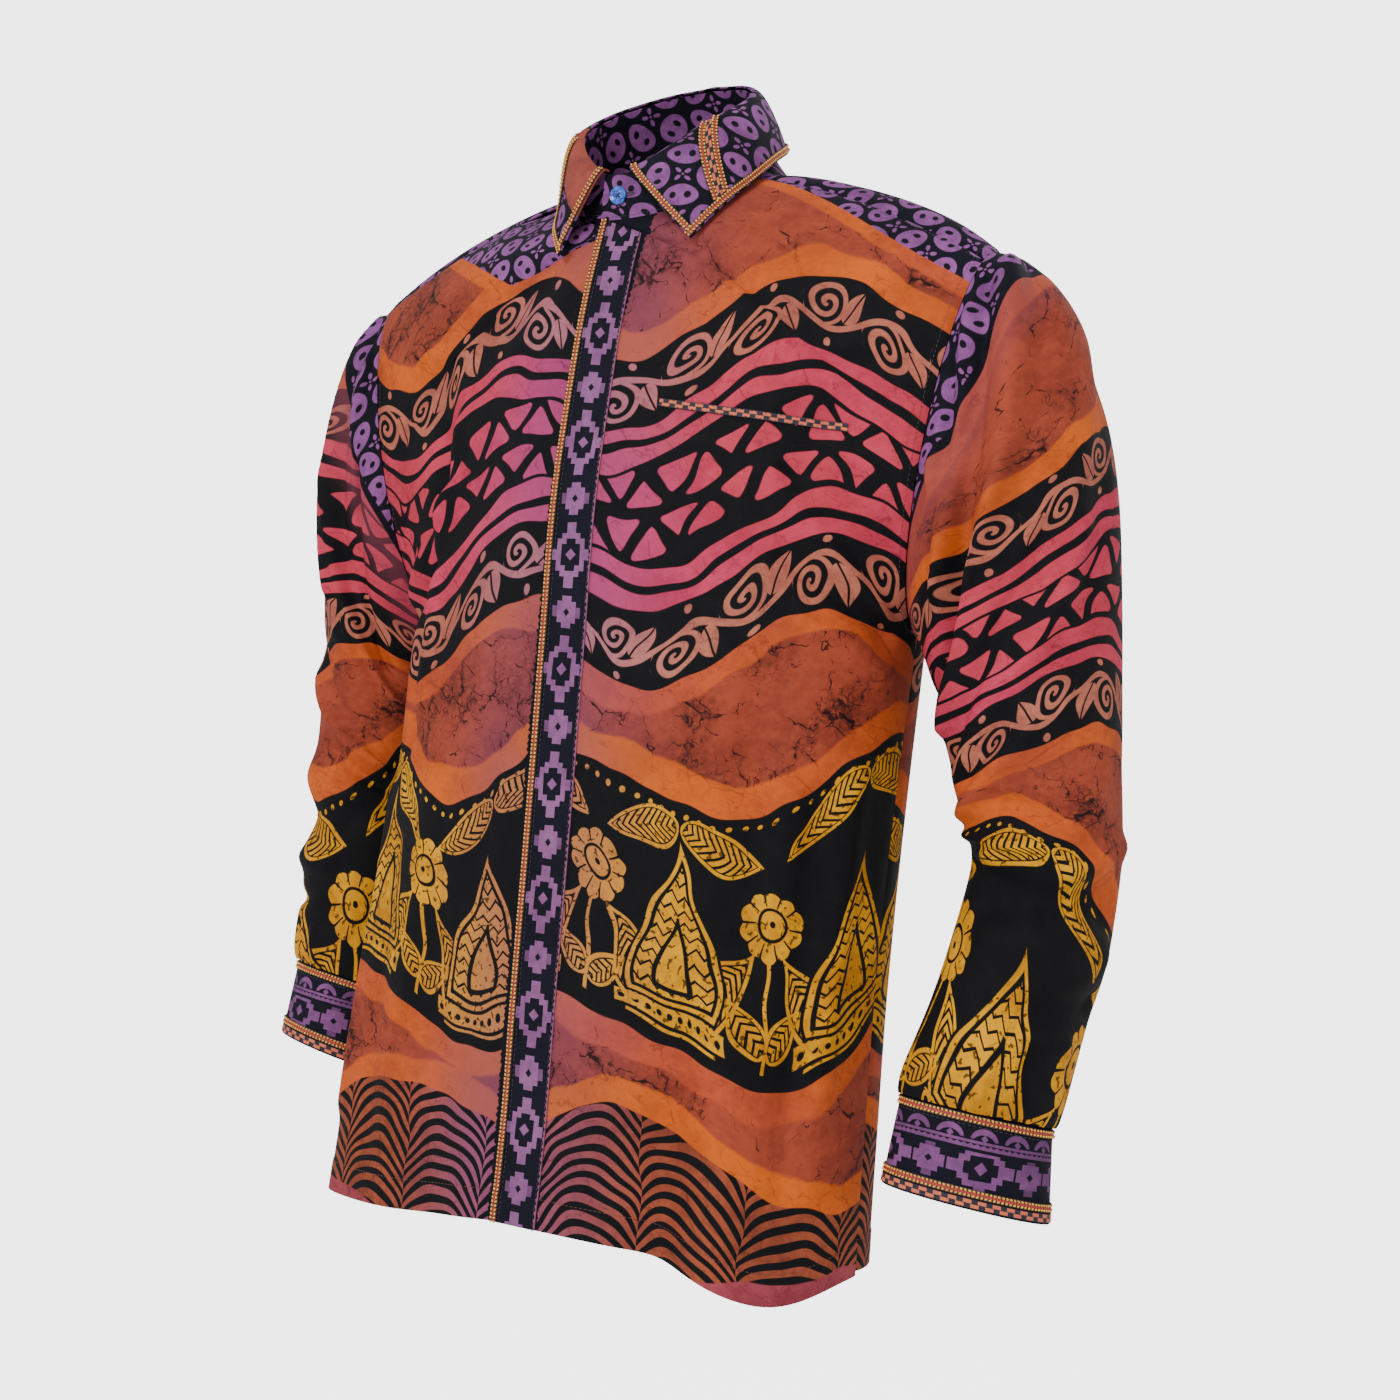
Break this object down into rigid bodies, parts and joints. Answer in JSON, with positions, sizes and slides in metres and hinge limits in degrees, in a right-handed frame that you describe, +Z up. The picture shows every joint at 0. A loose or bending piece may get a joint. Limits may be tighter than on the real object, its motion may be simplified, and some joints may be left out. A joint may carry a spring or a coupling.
{
  "type": "batik shirt",
  "caption": "Long-sleeved batik shirt in worn form: hollow body and sleeves, open hem, neck and cuffs, fold-over collar, covered front closing, braids and checked tapes.",
  "frame": {"origin": "between the wearer's shoulders, at the base of the neck", "axes": "+Z up, the shirt faces -Y, +X is the wearer's left"},
  "size_m": [0.6137, 0.2371, 0.7643],
  "materials": {
    "printed_cotton": "dyed plain-weave cotton, matt",
    "kawung_cotton": "dyed plain-weave cotton, matt",
    "border_cotton": "dyed plain-weave cotton, matt",
    "yellow_braid": "narrow woven braid",
    "checked_tape": "narrow woven tape",
    "blue_button": "moulded, glossy"
  },
  "bodies": {
    "root": {"back": "printed_cotton", "collar_braid_aft_left": "yellow_braid", "collar_braid_aft_right": "yellow_braid", "collar_braid_edge": "yellow_braid", "collar_braid_fore_left": "yellow_braid", "collar_braid_fore_right": "yellow_braid", "collar_braid_front_left": "yellow_braid", "collar_braid_front_right": "yellow_braid", "collar_leaf": "kawung_cotton", "collar_stand": "border_cotton", "collar_tape_left": "checked_tape", "collar_tape_right": "checked_tape", "cuff_braid_low_left": "yellow_braid", "cuff_braid_low_right": "yellow_braid", "cuff_braid_top_left": "yellow_braid", "cuff_braid_top_right": "yellow_braid", "cuff_button_left": "blue_button", "cuff_button_right": "blue_button", "cuff_left": "border_cotton", "cuff_right": "border_cotton", "cuff_tape_left": "checked_tape", "cuff_tape_right": "checked_tape", "front_left": "printed_cotton", "front_right": "printed_cotton", "neck_button": "blue_button", "placket": "border_cotton", "placket_braid": "yellow_braid", "pocket_tape": "checked_tape", "sleeve_left": "printed_cotton", "sleeve_right": "printed_cotton", "yoke": "kawung_cotton"}
  },
  "joints": []
}
